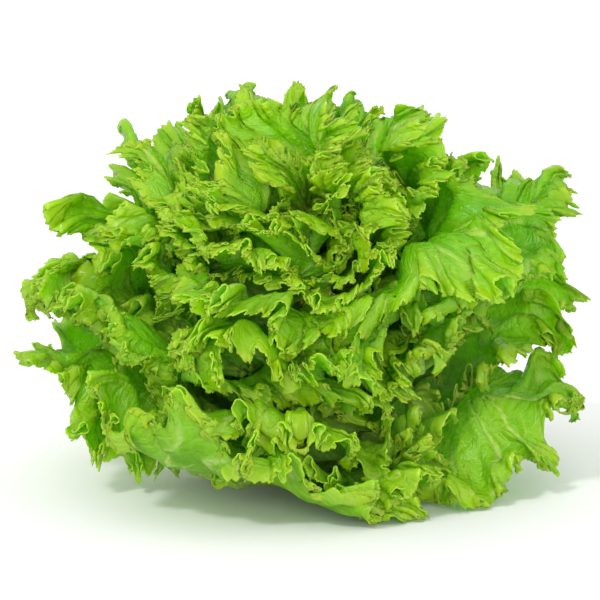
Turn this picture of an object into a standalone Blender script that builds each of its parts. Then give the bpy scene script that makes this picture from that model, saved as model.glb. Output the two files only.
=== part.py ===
"""A batavia lettuce: a short cut stem, and the frilled leaves that spiral up it in one leaning head.

Lengths are in metres and +Z is up. The origin is the centre of the stem's flat cut, on the surface
that the head stands on. The head leans towards -Y and rests on its cut and its lowest front leaves.

The leaves are nested. Layer 0 is the heart and layer 1 the outermost leaf, and a leaf keeps to its
own span of layers, so that no two leaves cross however much they ruffle.
"""

import math

import bmesh
import bpy
import numpy as np
from mathutils import Matrix

MM = 0.001

# The whole head
LEAF_COUNT = 33
LEAN = math.radians(36)
HEAD_CENTRE = 80 * MM
HEART_REACH = 124 * MM
OUTER_REACH = 143 * MM
FULL_REACH_LAYER = 0.45
GOLDEN_ANGLE = math.radians(137.508)
LAYER_OF_HEART = 0.038
HEART_SPREADS = 0.27

# The oldest leaves stand where they do in the photo: (azimuth in degrees, layer, length, width)
OLDEST_LEAVES = (
    (-26, 0.975, 1.0, 0.86),
    (98, 1.02, 1.0, 1.0),
    (-173, 1.03, 0.97, 0.66),
    (-110, 0.945, 1.06, 1.03),
    (25, 0.915, 1.12, 1.0),
    (163, 0.87, 0.90, 0.95),
    (-79, 0.875, 0.94, 0.70),
    (-96, 0.81, 0.98, 0.85),
)

# A few younger leaves are longer or shorter in the photo than the rule makes them, and some are narrower
YOUNGER_LENGTHS = {10: 0.82, 13: 1.03, 14: 1.07, 16: 1.04, 19: 0.95, 22: 0.98, 29: 1.03}
YOUNGER_WIDTHS = {10: 0.85, 20: 0.84, 21: 0.97, 25: 0.93, 27: 0.95, 29: 0.95, 30: 0.92, 32: 0.93}
OUTER_LAYER = 0.78

# How far each layer opens away from the axis, seen from the head's centre
HEART_OPENS = math.radians(5)
OUTER_OPENS = math.radians(97)
FRONT_OPENS_LESS = math.radians(18)
OPENING_POWER = 0.9
RIGHT_OPENS_LATER = 0.62
RIGHT_AZIMUTH = math.radians(-4)
RIGHT_REACHES_MORE = 10 * MM

# The way a leaf leaves the stem, and how its tip turns outwards
HEART_RISES = math.radians(10)
OUTER_RISES = math.radians(64)
FRONT_RISES_STEEPER = math.radians(2)
FLARE_LAYERS = (0.0, 0.5, 1.0)
FLARES = (math.radians(8), math.radians(36), math.radians(14))
CUPPED_AZIMUTH = math.radians(-98)
CUPS_MORE = math.radians(78)
CUPPED_OPENS_LESS = math.radians(2)
BOWL_AZIMUTH = math.radians(-142)
BOWL_OPENS_LESS = math.radians(15)
ROOT_PULL = 0.47
TIP_PULL = 0.33

# The stem, as radii at heights along its axis
STEM_HEIGHTS = [h * MM for h in (-20, 0, 14, 26, 42, 58, 68, 74)]
STEM_RADII = [r * MM for r in (15.0, 16.5, 18.5, 18.5, 15.5, 10.5, 6.0, 2.0)]
STEM_TIP = 2 * MM
STEM_SIDES = 28
LOWEST_ROOT = 9 * MM
HIGHEST_ROOT = 67 * MM
ROOT_GAP = 1.5 * MM

# One leaf, laid flat
HEART_HALF_WIDTH = 44 * MM
OUTER_HALF_WIDTH = 105 * MM
HEART_ROOT_HALF_WIDTH = 9 * MM
OUTER_ROOT_HALF_WIDTH = 18 * MM
WIDEST_AT = 0.62
OUTLINE_POWER = 2.3
TOP_VEIN_AT = 0.72
VEIN_POWER = 1.3
TIGHTEST_WRAP = 18 * MM
LOBES = ((0.045, 3.0), (0.05, 5.3), (0.035, 8.2))

# Its thickness
BLADE = 0.8 * MM
HEART_RIB = 1.5 * MM
OUTER_RIB = 3.8 * MM
RIB_HALF_WIDTH = 5 * MM
FLESHY_ROOT = 0.35
FLESHY_SHARE = 0.25

# How its edge turns wavy, and the room that it keeps to
HEART_RUFFLES = 12
OUTER_RUFFLES = 12
RUFFLE_HEIGHT = 12 * MM
RUFFLE_STARTS = 0.28
RUFFLE_FULL = 0.60
BILLOW_STARTS = 0.15
BILLOW_FULL = 0.6
NEIGHBOUR_MARGIN = math.radians(5)
HEART_FADE = math.radians(32)
OUTER_FADE = math.radians(14)
PAST_TIP = math.radians(100)
OPEN_AIR = 0.045
HEART_SHARE = 0.25
OUTER_SHARE = 0.46
ROOT_SHARE = 0.35
ROOM_GROWS = (0.25, 0.65)
SEGMENTS_A_RUFFLE = 4
VEIN_ROWS = (0.12, 0.45, 0.75, 1.0)
ROW_COARSENESS = (4, 2, 2, 1)
HEART_ROW_COARSENESS = (2, 2, 2, 1)
TIGHT_LAYER = 0.46
ALONG = np.linspace(0, 1.3, 131)

# The bends that the whole head shares, and the surface that it stands on
SWAYS = ((6.0, 115.0, 0.4), (4.0, 68.0, 2.1))
SWAY_STARTS = 25 * MM
SWAY_FULL = 75 * MM
FLOOR_SOFTNESS = 6 * MM
FLOOR_CLEARANCE = 0.9 * MM


def smooth(value, low, high):
    """0 below low and 1 above high, with a soft step between them."""
    share = np.clip((value - low) / (high - low), 0, 1)
    return share * share * (3 - 2 * share)


def mixed(heart, outer, layer):
    return heart + (outer - heart) * layer


def stem_radius(height):
    return np.interp(height, STEM_HEIGHTS, STEM_RADII)


def root_height(layer, azimuth):
    """Height along the stem's axis, level with the surface below for the outermost leaves."""
    downhill = -np.sin(azimuth) * max(STEM_RADII) * math.sin(LEAN)
    lowest = (LOWEST_ROOT + downhill) / math.cos(LEAN)
    return HIGHEST_ROOT + (lowest - HIGHEST_ROOT) * layer


def blade_line(layer, azimuth, along):
    """(distance from the axis, height along it) on a leaf's middle line: its root is at 0, its tip at 1."""
    layer, azimuth, along = np.broadcast_arrays(layer, azimuth, along)
    front = -np.sin(azimuth)
    right = smooth(np.cos(azimuth - RIGHT_AZIMUTH), 0, 1)
    cupped = smooth(np.cos(azimuth - CUPPED_AZIMUTH), 0.2, 1)
    bowl = smooth(np.cos(azimuth - BOWL_AZIMUTH), 0.2, 1)
    opens = OUTER_OPENS - FRONT_OPENS_LESS * front
    opens = opens - CUPPED_OPENS_LESS * cupped - BOWL_OPENS_LESS * bowl
    share = np.abs(layer) ** OPENING_POWER
    share = share * (1 - RIGHT_OPENS_LATER * right * (1 - share))
    tip_angle = HEART_OPENS + (opens - HEART_OPENS) * share
    reach = mixed(HEART_REACH, OUTER_REACH, np.clip(layer / FULL_REACH_LAYER, 0, 1))
    reach = reach + RIGHT_REACHES_MORE * right * layer
    rise = mixed(HEART_RISES, OUTER_RISES - FRONT_RISES_STEEPER * front, layer)
    flare = np.interp(layer, FLARE_LAYERS, FLARES) - CUPS_MORE * cupped * layer**3
    turn = tip_angle + flare

    low = root_height(layer, azimuth)
    half_rib = mixed(HEART_RIB, OUTER_RIB, layer) / 2
    root = np.stack([stem_radius(low) + half_rib * np.cos(rise) + ROOT_GAP, low])
    tip = np.stack([reach * np.sin(tip_angle), HEAD_CENTRE + reach * np.cos(tip_angle)])
    chord = np.hypot(*(tip - root))
    first = root + ROOT_PULL * chord * np.stack([np.sin(rise), np.cos(rise)])
    second = tip - TIP_PULL * chord * np.stack([np.sin(turn), np.cos(turn)])
    back = 1 - along
    return back**3 * root + 3 * back**2 * along * first + 3 * back * along**2 * second + along**3 * tip


def swayed(points):
    """Slow bends in the outer head, the same for every leaf, so that they part no leaves and cross none."""
    away = np.linalg.norm(points - np.array([0, 0, HEAD_CENTRE / 2]), axis=-1)
    share = smooth(away, SWAY_STARTS, SWAY_FULL)[..., None]
    moved = points.copy()
    for height, length, phase in SWAYS:
        turns = 2 * math.pi * points / (length * MM)
        moved += share * height * MM * np.sin(np.roll(turns, 1, axis=-1) + phase)
    return moved


def above_floor(points):
    """Leaves that would sink below the surface are bent up to lie on it."""
    lifted = points.copy()
    height = points[..., 2] - FLOOR_CLEARANCE
    pressed = FLOOR_SOFTNESS * np.exp(np.minimum(height / FLOOR_SOFTNESS - 1, 0))
    lifted[..., 2] = np.where(height < FLOOR_SOFTNESS, pressed, height) + FLOOR_CLEARANCE
    return lifted


def in_place(layer, azimuth, along):
    """Points of the nested layers, in the leaning head."""
    away, up = blade_line(layer, azimuth, along)
    x = away * np.cos(azimuth)
    back = away * np.sin(azimuth)
    y = back * math.cos(LEAN) - up * math.sin(LEAN)
    z = back * math.sin(LEAN) + up * math.cos(LEAN)
    return above_floor(swayed(np.stack([x, y, z], axis=-1)))


def layer_spacing(layer, azimuth, along):
    """Metres for one whole layer, at each point."""
    step = 0.004
    apart = in_place(layer + step, azimuth, along) - in_place(layer - step, azimuth, along)
    return np.linalg.norm(apart, axis=-1) / (2 * step)


def leaf_facts():
    """Each leaf's place in the spiral, its size and its own bends, from the outermost leaf to the heart."""
    draw = np.random.default_rng(5)
    leaves = []
    azimuth = math.radians(OLDEST_LEAVES[-1][0])
    for order in range(LEAF_COUNT):
        if order < len(OLDEST_LEAVES):
            degrees, layer, length, width = OLDEST_LEAVES[order]
            azimuth = math.radians(degrees)
            jitter = 0
        else:
            share = (order - len(OLDEST_LEAVES)) / (LEAF_COUNT - 1 - len(OLDEST_LEAVES))
            layer = mixed(OUTER_LAYER, LAYER_OF_HEART, mixed(share, share**2, HEART_SPREADS))
            length = draw.uniform(0.93, 1.08) * YOUNGER_LENGTHS.get(order, 1)
            width = draw.uniform(0.94, 1.06) * YOUNGER_WIDTHS.get(order, 1)
            azimuth += GOLDEN_ANGLE
            jitter = math.radians(draw.uniform(-5, 5))
        size = min(layer, 1) ** 0.7
        leaves.append(
            {
                "layer": layer,
                "azimuth": azimuth + jitter,
                "half_width": mixed(HEART_HALF_WIDTH, OUTER_HALF_WIDTH, size) * width,
                "root_half_width": mixed(HEART_ROOT_HALF_WIDTH, OUTER_ROOT_HALF_WIDTH, min(layer, 1)),
                "length": length,
                "side_bend": math.radians(draw.uniform(-8, 8)),
                "phases": draw.uniform(0, 2 * math.pi, 4),
            }
        )
    for leaf in leaves:
        leaf["reach"] = half_angles(leaf)
    return leaves


def half_angles(leaf):
    """How far round the axis the leaf reaches at each share in ALONG. Past its tip this falls below 0."""
    x_edge, y_edge, _ = outline(leaf)
    along = y_edge * leaf["length"]
    away, _ = blade_line(leaf["layer"], leaf["azimuth"], along)
    reach = np.interp(ALONG, along[::-1], (x_edge / np.hypot(away, TIGHTEST_WRAP))[::-1])
    return reach - PAST_TIP * np.clip(ALONG - leaf["length"], 0, None)


def blade_length(leaf):
    """Length of the middle line, from root to tip."""
    line = in_place(leaf["layer"], leaf["azimuth"], np.linspace(0, leaf["length"], 30))
    return np.linalg.norm(np.diff(line, axis=0), axis=1).sum()


def outline(leaf):
    """Half of the flat edge, from tip to root: (x across, y as a share of the length, way travelled)."""
    y = 1 - np.linspace(0, 1, 241) ** 1.6
    root, widest = leaf["root_half_width"], leaf["half_width"]
    below = root + (widest - root) * smooth(y, 0, WIDEST_AT)
    above = np.clip((y - WIDEST_AT) / (1 - WIDEST_AT), 0, 1)
    x = np.where(y < WIDEST_AT, below, widest * (1 - above**OUTLINE_POWER) ** (1 / OUTLINE_POWER))
    x[0] = 0
    steps = np.hypot(np.diff(x), np.diff(y) * blade_length(leaf))
    return x, y, np.concatenate([[0], np.cumsum(steps)])


def flat_points(leaf, around, outwards):
    """(x, y) on the flat leaf: around is 0 at the tip and 1 or -1 at the root, outwards 1 at the edge."""
    x_edge, y_edge, travelled = outline(leaf)
    lobes = 0
    for size, turns in LOBES:
        phase = leaf["phases"][0] * turns
        lobes = lobes + size * (0.6 + np.sin(2 * math.pi * turns * around + phase))
    outwards = outwards * (1 - lobes * outwards**2 * (1 - around**8))
    distance = np.abs(around) * travelled[-1]
    x = np.sign(around) * np.interp(distance, travelled, x_edge)
    y = np.interp(distance, travelled, y_edge)
    leaves_rib_at = TOP_VEIN_AT * (1 - np.abs(around)) ** VEIN_POWER
    return x * outwards, leaves_rib_at + (y - leaves_rib_at) * outwards


def turned(leaf, x, y):
    """How far round the axis a point of the flat leaf lies from the leaf's own azimuth."""
    away, _ = blade_line(leaf["layer"], leaf["azimuth"], y)
    return x / np.hypot(away, TIGHTEST_WRAP) + leaf["side_bend"] * y**2


def room(leaf, leaves, azimuth, along):
    """(inwards, outwards): this leaf's share of the layers up to the nearest leaf on each side."""
    inwards = np.full_like(azimuth, min(OPEN_AIR, leaf["layer"] * 0.7))
    outwards = np.full_like(azimuth, OPEN_AIR)
    free_of_root = mixed(ROOT_SHARE, 1, smooth(along, *ROOM_GROWS))
    own_share = mixed(HEART_SHARE, OUTER_SHARE, min(leaf["layer"], 1)) * free_of_root
    fade = mixed(HEART_FADE, OUTER_FADE, min(leaf["layer"], 1))
    for other in leaves:
        if other is leaf:
            continue
        centre = other["azimuth"] + other["side_bend"] * along**2
        apart = np.abs((azimuth - centre + math.pi) % (2 * math.pi) - math.pi)
        beyond = apart - np.interp(along, ALONG, other["reach"]) - NEIGHBOUR_MARGIN
        gap = own_share * abs(other["layer"] - leaf["layer"]) * (1 + np.clip(beyond / fade, 0, 9))
        if other["layer"] < leaf["layer"]:
            inwards = np.minimum(inwards, gap)
        else:
            outwards = np.minimum(outwards, gap)
    return inwards, outwards


def ruffle_count(leaf):
    return 2 * round(mixed(HEART_RUFFLES, OUTER_RUFFLES, min(1, leaf["layer"] * 1.3)) / 2)


def ruffle(leaf, around):
    """The edge's wave, from -1 to 1."""
    first, second, third, fourth = leaf["phases"]
    turn = 2 * math.pi * around
    drift = 0.9 * np.sin(1.3 * turn + second) + 0.5 * np.sin(2.9 * turn + third)
    strength = 0.85 + 0.15 * np.sin(2.1 * turn + fourth)
    return strength * np.sin(ruffle_count(leaf) * turn / 2 + first + drift)


def leaf_layers(leaf, leaves, around, outwards):
    """(layer, azimuth, along) of each point, with the leaf's ruffles in its layer."""
    x, y = flat_points(leaf, around, outwards)
    along = y * leaf["length"]
    azimuth = leaf["azimuth"] + turned(leaf, x, along)
    layer = np.full_like(azimuth, leaf["layer"])
    spacing = layer_spacing(layer, azimuth, along)
    inside, outside = room(leaf, leaves, azimuth, along)
    billow = (outside - inside) / 2 * smooth(along, BILLOW_STARTS, BILLOW_FULL)
    free = np.minimum(outside - billow, inside + billow) - BLADE / spacing
    height = np.clip(free, 0, RUFFLE_HEIGHT / spacing)
    near_edge = smooth(outwards, 0.2, 1.0) * smooth(along, RUFFLE_STARTS, RUFFLE_FULL)
    return layer + billow + height * near_edge * ruffle(leaf, around), azimuth, along


def thickness_weight(leaf, around, outwards):
    """1 on the thick foot of the rib, falling to 0 on the blade."""
    x, y = flat_points(leaf, around, outwards)
    fleshy = FLESHY_SHARE * (1 - smooth(y, 0, FLESHY_ROOT))
    rib = np.exp(-((x / RIB_HALF_WIDTH) ** 2)) * np.clip(1 - y, 0, 1) ** 0.7
    return np.clip(rib + fleshy, 0, 1)


def leaf_points(leaf, leaves, around, outwards):
    """Where each point of the leaf's middle surface stands, with its thickness weight there."""
    points = in_place(*leaf_layers(leaf, leaves, around, outwards))
    return points, thickness_weight(leaf, around, outwards)


def row_faces(inner, outer):
    """Triangles between two rows of a leaf, where the outer row has as many segments or twice as many."""
    ratio = (len(outer) - 1) // (len(inner) - 1)
    faces = []
    for i in range(len(inner) - 1):
        fan = outer[ratio * i : ratio * (i + 1) + 1]
        turn = len(fan) // 2
        for a, b in zip(fan[:turn], fan[1:]):
            faces.append((inner[i], a, b))
        faces.append((inner[i], fan[turn], inner[i + 1]))
        for a, b in zip(fan[turn:], fan[turn + 1 :]):
            faces.append((inner[i + 1], a, b))
    return [face for face in faces if len(set(face)) == 3]


def leaf_mesh(name, leaf, leaves):
    """The leaf's middle surface, with more segments towards its edge, and each point's weight."""
    segments = ruffle_count(leaf) * SEGMENTS_A_RUFFLE
    coarsenesses = HEART_ROW_COARSENESS if leaf["layer"] < TIGHT_LAYER else ROW_COARSENESS
    rib_segments = segments // coarsenesses[0]
    rib_around = np.linspace(-1, 0, rib_segments // 2 + 1)
    points, weights = leaf_points(leaf, leaves, rib_around, np.zeros_like(rib_around))
    inner = list(range(len(rib_around)))
    inner += inner[-2::-1]
    faces = []
    for outwards, coarseness in zip(VEIN_ROWS, coarsenesses):
        around = np.linspace(-1, 1, segments // coarseness + 1)
        row_points, row_weights = leaf_points(leaf, leaves, around, np.full_like(around, outwards))
        outer = list(range(len(points), len(points) + len(around)))
        points = np.concatenate([points, row_points])
        weights = np.concatenate([weights, row_weights])
        faces += row_faces(inner, outer)
        inner = outer
    mesh = bpy.data.meshes.new(name)
    mesh.from_pydata(points.tolist(), [], faces)
    mesh.update()
    return mesh, weights


def add_leaf(name, leaf, leaves, material):
    mesh, weights = leaf_mesh(name, leaf, leaves)
    mesh.materials.append(material)
    leaf_object = bpy.data.objects.new(name, mesh)
    bpy.context.scene.collection.objects.link(leaf_object)
    rib = leaf_object.vertex_groups.new(name="rib")
    for index, weight in enumerate(weights):
        rib.add([index], float(weight), "REPLACE")
    thicken = leaf_object.modifiers.new("thickness", "SOLIDIFY")
    thick = mixed(HEART_RIB, OUTER_RIB, min(leaf["layer"], 1))
    thicken.thickness = thick
    thicken.offset = 0
    thicken.vertex_group = "rib"
    thicken.thickness_vertex_group = BLADE / thick
    mesh.shade_smooth()
    return leaf_object


def add_stem(material):
    """A turned stem, leaned over and cut level, so that the cut lies flat on the surface."""
    shape = bmesh.new()
    outline_points = [(radius, 0, height) for height, radius in zip(STEM_HEIGHTS, STEM_RADII)]
    ends = [(0, 0, STEM_HEIGHTS[0]), (0, 0, STEM_HEIGHTS[-1] + STEM_TIP)]
    profile = [shape.verts.new(point) for point in (ends[0], *outline_points, ends[1])]
    edges = [shape.edges.new(pair) for pair in zip(profile, profile[1:])]
    around = {"cent": (0, 0, 0), "axis": (0, 0, 1), "angle": 2 * math.pi}
    bmesh.ops.spin(shape, geom=profile + edges, steps=STEM_SIDES, use_duplicate=False, **around)
    bmesh.ops.remove_doubles(shape, verts=shape.verts, dist=0.01 * MM)
    bmesh.ops.rotate(shape, verts=shape.verts, cent=(0, 0, 0), matrix=Matrix.Rotation(LEAN, 3, "X"))
    everything = shape.verts[:] + shape.edges[:] + shape.faces[:]
    level = {"plane_co": (0, 0, 0), "plane_no": (0, 0, -1)}
    cut = bmesh.ops.bisect_plane(shape, geom=everything, clear_outer=True, **level)["geom_cut"]
    rim = [piece for piece in cut if isinstance(piece, bmesh.types.BMEdge)]
    bmesh.ops.holes_fill(shape, edges=rim, sides=0)
    bmesh.ops.recalc_face_normals(shape, faces=shape.faces)
    mesh = bpy.data.meshes.new("stem")
    shape.to_mesh(mesh)
    shape.free()
    mesh.materials.append(material)
    mesh.shade_smooth()
    mesh.set_sharp_from_angle(angle=math.radians(50))
    stem = bpy.data.objects.new("stem", mesh)
    bpy.context.scene.collection.objects.link(stem)
    return stem


def plain_material(name, colour, roughness):
    material = bpy.data.materials.new(name)
    material.use_nodes = True
    shader = material.node_tree.nodes["Principled BSDF"]
    shader.inputs["Base Color"].default_value = (*colour, 1)
    shader.inputs["Roughness"].default_value = roughness
    shader.inputs["Metallic"].default_value = 0
    return material


def main():
    for old in list(bpy.data.objects):
        bpy.data.objects.remove(old)
    rings = {
        "outer": plain_material("outer_leaf_green", (0.14, 0.33, 0.03), 0.45),
        "middle": plain_material("middle_leaf_green", (0.20, 0.43, 0.03), 0.45),
        "heart": plain_material("heart_leaf_green", (0.30, 0.52, 0.05), 0.45),
    }
    add_stem(plain_material("stem_pale", (0.62, 0.68, 0.36), 0.5))
    leaves = leaf_facts()
    ring_size = LEAF_COUNT // len(rings)
    for order, leaf in enumerate(leaves):
        ring = list(rings)[order // ring_size]
        add_leaf(f"{ring}_leaf_{order % ring_size + 1:02d}", leaf, leaves, rings[ring])


main()
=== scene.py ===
# %% [markdown]
# # A batavia lettuce
#
# The solids of this head give the places and sizes of its leaves, but their blades are plain and
# coarse. Here each leaf is made again, finer: the same blade in the same place, with the curled frill,
# the teeth, the blisters and the veins that a real leaf has, and a skin that lets light through.

# %% The frame
import math

import bmesh
import bpy
import numpy as np
from mathutils import Matrix, Vector


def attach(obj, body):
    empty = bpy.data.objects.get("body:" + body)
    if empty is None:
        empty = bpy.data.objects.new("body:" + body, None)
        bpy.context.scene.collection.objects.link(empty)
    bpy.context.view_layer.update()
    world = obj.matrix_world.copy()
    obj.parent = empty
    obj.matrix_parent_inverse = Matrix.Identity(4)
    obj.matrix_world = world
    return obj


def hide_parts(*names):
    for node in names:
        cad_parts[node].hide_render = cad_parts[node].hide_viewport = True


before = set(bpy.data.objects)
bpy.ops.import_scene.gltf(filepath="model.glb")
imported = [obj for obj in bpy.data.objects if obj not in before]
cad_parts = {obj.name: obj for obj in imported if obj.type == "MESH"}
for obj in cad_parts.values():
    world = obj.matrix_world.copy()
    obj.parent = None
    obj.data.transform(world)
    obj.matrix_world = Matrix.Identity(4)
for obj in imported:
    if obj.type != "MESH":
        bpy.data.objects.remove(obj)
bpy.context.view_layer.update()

MM = 0.001

# %% [markdown]
# ## The camera
#
# The head is seen a little from above, from the side that it leans to. A long lens from over a metre
# away keeps the near frills from looking larger than the far ones.

# %% The camera
CAMERA_HEIGHT_ANGLE = math.radians(9)
CAMERA_DISTANCE = 1.3
HALF_WIDTH_SEEN = 0.154
LOOKED_AT = Vector((0.004, -0.060, 0.0922))
SENSOR_WIDTH = 36


def add_object(name, data):
    made = bpy.data.objects.new(name, data)
    bpy.context.scene.collection.objects.link(made)
    return made


def add_camera():
    data = bpy.data.cameras.new("camera")
    data.sensor_width = SENSOR_WIDTH
    data.lens = SENSOR_WIDTH * CAMERA_DISTANCE / (2 * HALF_WIDTH_SEEN)
    camera = add_object("camera", data)
    away = Vector((0, -math.cos(CAMERA_HEIGHT_ANGLE), math.sin(CAMERA_HEIGHT_ANGLE)))
    camera.location = LOOKED_AT + CAMERA_DISTANCE * away
    camera.rotation_euler = away.to_track_quat("Z", "Y").to_euler()
    bpy.context.scene.camera = camera
    return camera


camera = add_camera()
print("the camera stands at", [round(value, 3) for value in camera.location])

# %% [markdown]
# ## Nested layers
#
# A head of lettuce is a nest: every leaf wraps those inside it. So a place in the head is given by
# three numbers: its layer, from 0 at the heart to 1 on the outermost leaf, its azimuth round the stem,
# and how far along a leaf it is, from the root at 0 to the tip at 1. A leaf that stays in its own span
# of layers can't cut through another one, whatever shape the layers have.
#
# The functions below turn such a triple into a point. They are the rule that the solids were made by,
# so each fine leaf starts out exactly where its solid is.

# %% The shape of the layers
LEAN = math.radians(36)
HEAD_CENTRE = 80 * MM
HEART_REACH = 124 * MM
OUTER_REACH = 143 * MM
FULL_REACH_LAYER = 0.45
HEART_OPENS = math.radians(5)
OUTER_OPENS = math.radians(97)
FRONT_OPENS_LESS = math.radians(18)
OPENING_POWER = 0.9
RIGHT_OPENS_LATER = 0.62
RIGHT_AZIMUTH = math.radians(-4)
RIGHT_REACHES_MORE = 10 * MM
HEART_RISES = math.radians(10)
OUTER_RISES = math.radians(64)
FRONT_RISES_STEEPER = math.radians(2)
FLARE_LAYERS = (0.0, 0.5, 1.0)
FLARES = (math.radians(8), math.radians(36), math.radians(14))
CUPPED_AZIMUTH = math.radians(-98)
CUPS_MORE = math.radians(78)
CUPPED_OPENS_LESS = math.radians(2)
BOWL_AZIMUTH = math.radians(-142)
BOWL_OPENS_LESS = math.radians(15)
FADES_TO_SIDES = (0.2, 1)
ROOT_PULL = 0.47
TIP_PULL = 0.33
STEM_HEIGHTS = [h * MM for h in (-20, 0, 14, 26, 42, 58, 68, 74)]
STEM_RADII = [r * MM for r in (15.0, 16.5, 18.5, 18.5, 15.5, 10.5, 6.0, 2.0)]
LOWEST_ROOT = 9 * MM
HIGHEST_ROOT = 67 * MM
ROOT_GAP = 1.5 * MM
HEART_RIB = 1.5 * MM
OUTER_RIB = 3.8 * MM
SWAYS = ((6.0, 115.0, 0.4), (4.0, 68.0, 2.1))
SWAY_STARTS = 25 * MM
SWAY_FULL = 75 * MM
FLOOR_SOFTNESS = 6 * MM
FLOOR_CLEARANCE = 0.9 * MM


def smooth(value, low, high):
    """0 below low and 1 above high, with a soft step between them."""
    share = np.clip((value - low) / (high - low), 0, 1)
    return share * share * (3 - 2 * share)


def mixed(heart, outer, layer):
    return heart + (outer - heart) * layer


def root_height(layer, azimuth):
    """Height along the stem, level with the surface below for the outermost leaves."""
    downhill = -np.sin(azimuth) * max(STEM_RADII) * math.sin(LEAN)
    lowest = (LOWEST_ROOT + downhill) / math.cos(LEAN)
    return HIGHEST_ROOT + (lowest - HIGHEST_ROOT) * layer


def blade_line(layer, azimuth, along):
    """(distance from the axis, height along it) on a leaf's middle line."""
    layer, azimuth, along = np.broadcast_arrays(layer, azimuth, along)
    front = -np.sin(azimuth)
    right = smooth(np.cos(azimuth - RIGHT_AZIMUTH), 0, 1)
    cupped = smooth(np.cos(azimuth - CUPPED_AZIMUTH), *FADES_TO_SIDES)
    bowl = smooth(np.cos(azimuth - BOWL_AZIMUTH), *FADES_TO_SIDES)
    opens = OUTER_OPENS - FRONT_OPENS_LESS * front
    opens = opens - CUPPED_OPENS_LESS * cupped - BOWL_OPENS_LESS * bowl
    share = np.abs(layer) ** OPENING_POWER
    share = share * (1 - RIGHT_OPENS_LATER * right * (1 - share))
    tip_angle = HEART_OPENS + (opens - HEART_OPENS) * share
    reach = mixed(HEART_REACH, OUTER_REACH, np.clip(layer / FULL_REACH_LAYER, 0, 1))
    reach = reach + RIGHT_REACHES_MORE * right * layer
    rise = mixed(HEART_RISES, OUTER_RISES - FRONT_RISES_STEEPER * front, layer)
    flare = np.interp(layer, FLARE_LAYERS, FLARES) - CUPS_MORE * cupped * layer**3
    turn = tip_angle + flare

    low = root_height(layer, azimuth)
    half_rib = mixed(HEART_RIB, OUTER_RIB, layer) / 2
    radius = np.interp(low, STEM_HEIGHTS, STEM_RADII)
    root = np.stack([radius + half_rib * np.cos(rise) + ROOT_GAP, low])
    tip = np.stack([reach * np.sin(tip_angle), HEAD_CENTRE + reach * np.cos(tip_angle)])
    chord = np.hypot(*(tip - root))
    first = root + ROOT_PULL * chord * np.stack([np.sin(rise), np.cos(rise)])
    second = tip - TIP_PULL * chord * np.stack([np.sin(turn), np.cos(turn)])
    back = 1 - along
    by_ends = back**3 * root + 3 * back**2 * along * first
    return by_ends + 3 * back * along**2 * second + along**3 * tip


def swayed(points):
    """Slow bends that the whole outer head shares."""
    away = np.linalg.norm(points - np.array([0, 0, HEAD_CENTRE / 2]), axis=-1)
    share = smooth(away, SWAY_STARTS, SWAY_FULL)[..., None]
    moved = points.copy()
    for height, length, phase in SWAYS:
        turns = 2 * math.pi * points / (length * MM)
        moved += share * height * MM * np.sin(np.roll(turns, 1, axis=-1) + phase)
    return moved


def above_floor(points):
    """Leaves that would sink below the surface are bent up to lie on it."""
    lifted = points.copy()
    height = points[..., 2] - FLOOR_CLEARANCE
    pressed = FLOOR_SOFTNESS * np.exp(np.minimum(height / FLOOR_SOFTNESS - 1, 0))
    lifted[..., 2] = np.where(height < FLOOR_SOFTNESS, pressed, height) + FLOOR_CLEARANCE
    return lifted


def in_place(layer, azimuth, along):
    """Points of the nested layers, in the leaning head."""
    away, up = blade_line(layer, azimuth, along)
    x = away * np.cos(azimuth)
    back = away * np.sin(azimuth)
    y = back * math.cos(LEAN) - up * math.sin(LEAN)
    z = back * math.sin(LEAN) + up * math.cos(LEAN)
    return above_floor(swayed(np.stack([x, y, z], axis=-1)))


print("the heart's tip stands at", in_place(0.05, 0.0, 1.0).round(3))

# %% [markdown]
# ## One leaf laid flat
#
# A batavia leaf is a broad fan on a fleshy rib. Its outline is given from the tip round to the root,
# and a few slow waves in it make the lobes. A point of the blade is then named by two shares: around,
# which runs along the edge from -1 by way of the tip at 0 to 1, and outwards, from the rib to the edge.
# Lines of equal around are the side veins, which leave the rib at a slant and fan out to the edge.

# %% The flat leaf
HEART_HALF_WIDTH = 44 * MM
OUTER_HALF_WIDTH = 105 * MM
HEART_ROOT_HALF_WIDTH = 9 * MM
OUTER_ROOT_HALF_WIDTH = 18 * MM
WIDEST_AT = 0.62
OUTLINE_POWER = 2.3
TOP_VEIN_AT = 0.72
VEIN_POWER = 1.3
TIGHTEST_WRAP = 18 * MM
LOBES = ((0.045, 3.0), (0.05, 5.3), (0.035, 8.2))
LOBES_CUT_IN = 0.6
NO_LOBES_AT_ROOT = 8
LENGTH_STEPS = 30
OUTLINE_STEPS = 241
OUTLINE_DENSER_TIP = 1.6
PAST_TIP = math.radians(100)
ALONG = np.linspace(0, 1.3, 131)


def blade_length(leaf):
    """Length of the middle line, from root to tip."""
    along = np.linspace(0, leaf["length"], LENGTH_STEPS)
    line = in_place(leaf["layer"], leaf["azimuth"], along)
    return np.linalg.norm(np.diff(line, axis=0), axis=1).sum()


def outline(leaf):
    """Half of the flat edge, from tip to root: (x across, y as a share of the length, way gone)."""
    y = 1 - np.linspace(0, 1, OUTLINE_STEPS) ** OUTLINE_DENSER_TIP
    root, widest = leaf["root_half_width"], leaf["half_width"]
    below = root + (widest - root) * smooth(y, 0, WIDEST_AT)
    above = np.clip((y - WIDEST_AT) / (1 - WIDEST_AT), 0, 1)
    rounded = widest * (1 - above**OUTLINE_POWER) ** (1 / OUTLINE_POWER)
    x = np.where(y < WIDEST_AT, below, rounded)
    x[0] = 0
    steps = np.hypot(np.diff(x), np.diff(y) * blade_length(leaf))
    return x, y, np.concatenate([[0], np.cumsum(steps)])


def vein_origin(around):
    """Where the side vein that ends at around leaves the rib, as a share of the length."""
    return TOP_VEIN_AT * np.clip(1 - np.abs(around), 0, 1) ** VEIN_POWER


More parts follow.
